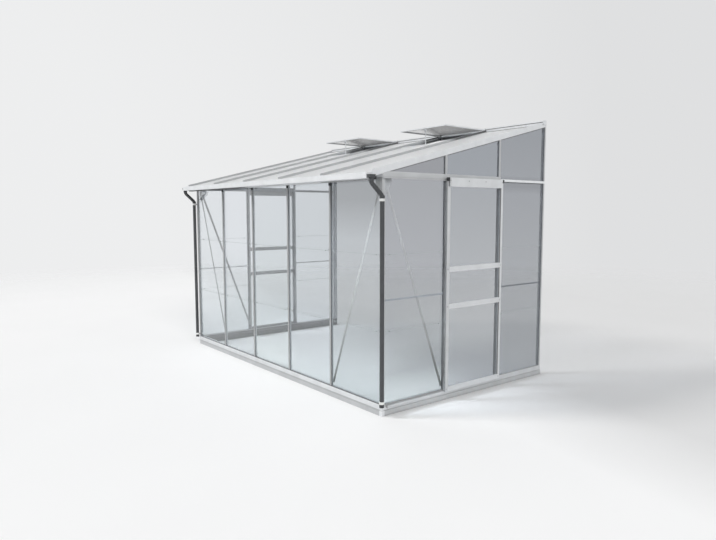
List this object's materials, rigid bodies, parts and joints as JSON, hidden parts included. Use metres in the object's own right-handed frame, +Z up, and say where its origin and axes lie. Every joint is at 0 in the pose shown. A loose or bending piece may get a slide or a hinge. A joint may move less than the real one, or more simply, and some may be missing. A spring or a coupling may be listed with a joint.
{
  "type": "lean-to greenhouse",
  "caption": "Lean-to greenhouse of aluminium glazing bars and glass, with a sliding door in each gable, opening roof vents, an eaves gutter and downpipes.",
  "frame": {"origin": "on the ground, in the middle of the overall width and depth", "axes": "+Z up, +Y towards the wall that the greenhouse leans on, +X along the eaves to the right when seen from the front"},
  "size_m": [3.1956, 2.008, 2.238],
  "materials": {
    "aluminium": "satin mill finish",
    "pale_aluminium": "satin mill finish, light",
    "glass": "clear 3 mm horticultural glass",
    "black_plastic": "charcoal black"
  },
  "bodies": {
    "frame": {"base_front": "pale_aluminium", "base_left": "pale_aluminium", "base_right": "pale_aluminium", "corner_post_left": "aluminium", "corner_post_right": "aluminium", "wall_post_left": "aluminium", "wall_post_right": "aluminium", "door_post_left_front": "aluminium", "door_post_left_rear": "aluminium", "door_post_right_front": "aluminium", "door_post_right_rear": "aluminium", "mid_girt_left": "aluminium", "mid_girt_right": "aluminium", "corner_brace_left": "aluminium", "corner_brace_right": "aluminium", "door_track_left": "aluminium", "door_track_right": "aluminium", "gable_glass_left_front": "glass", "gable_glass_left_over_door": "glass", "gable_glass_left_rear": "glass", "gable_glass_right_front": "glass", "gable_glass_right_over_door": "glass", "gable_glass_right_rear": "glass", "downpipe_left": "black_plastic", "downpipe_right": "black_plastic", "roof_bar_end_left": "pale_aluminium", "roof_bar_end_right": "pale_aluminium", "front_bar_1": "aluminium", "front_bar_2": "aluminium", "front_bar_3": "aluminium", "front_bar_4": "aluminium", "roof_bar_1": "aluminium", "roof_bar_2": "aluminium", "roof_bar_3": "aluminium", "roof_bar_4": "aluminium", "gutter": "pale_aluminium", "ridge": "pale_aluminium", "front_glass_1": "glass", "front_glass_2": "glass", "front_glass_3": "glass", "front_glass_4": "glass", "front_glass_5": "glass", "roof_glass_1": "glass", "roof_glass_2": "glass", "roof_glass_3": "glass", "roof_glass_4": "glass", "roof_glass_5": "glass", "vent_sill_left": "aluminium", "vent_sill_right": "aluminium"},
    "door_left": {"door_frame_left": "pale_aluminium", "door_glass_left": "glass"},
    "door_right": {"door_frame_right": "pale_aluminium", "door_glass_right": "glass"},
    "vent_left": {"vent_frame_left": "aluminium", "vent_glass_left": "glass"},
    "vent_right": {"vent_frame_right": "aluminium", "vent_glass_right": "glass"},
    "stay_left": {"vent_stay_left": "aluminium"},
    "stay_right": {"vent_stay_right": "aluminium"}
  },
  "joints": [
    {"name": "door_left_slide", "type": "slide", "parent": "frame", "child": "door_left", "axis": [0, -1, 0], "range_m": [0, 0.58]},
    {"name": "door_right_slide", "type": "slide", "parent": "frame", "child": "door_right", "axis": [0, -1, 0], "range_m": [0, 0.58]},
    {"name": "vent_left_hinge", "type": "hinge", "parent": "frame", "child": "vent_left", "pos_m": [-0.62, 0.99, 2.21198], "axis": [-1, 0, 0], "range_deg": [-14.6, 20]},
    {"name": "vent_right_hinge", "type": "hinge", "parent": "frame", "child": "vent_right", "pos_m": [0.62, 0.99, 2.21198], "axis": [-1, 0, 0], "range_deg": [-14.6, 20]},
    {"name": "stay_left_pivot", "type": "hinge", "parent": "vent_left", "child": "stay_left", "pos_m": [-0.62, 0.47194, 2.20808], "axis": [-1, 0, 0], "range_deg": [-20, 14.6]},
    {"name": "stay_right_pivot", "type": "hinge", "parent": "vent_right", "child": "stay_right", "pos_m": [0.62, 0.47194, 2.20808], "axis": [-1, 0, 0], "range_deg": [-20, 14.6]}
  ],
  "couplings": [
    {"joint": "stay_left_pivot", "follows": "vent_left_hinge", "ratio": -1},
    {"joint": "stay_right_pivot", "follows": "vent_right_hinge", "ratio": -1}
  ]
}
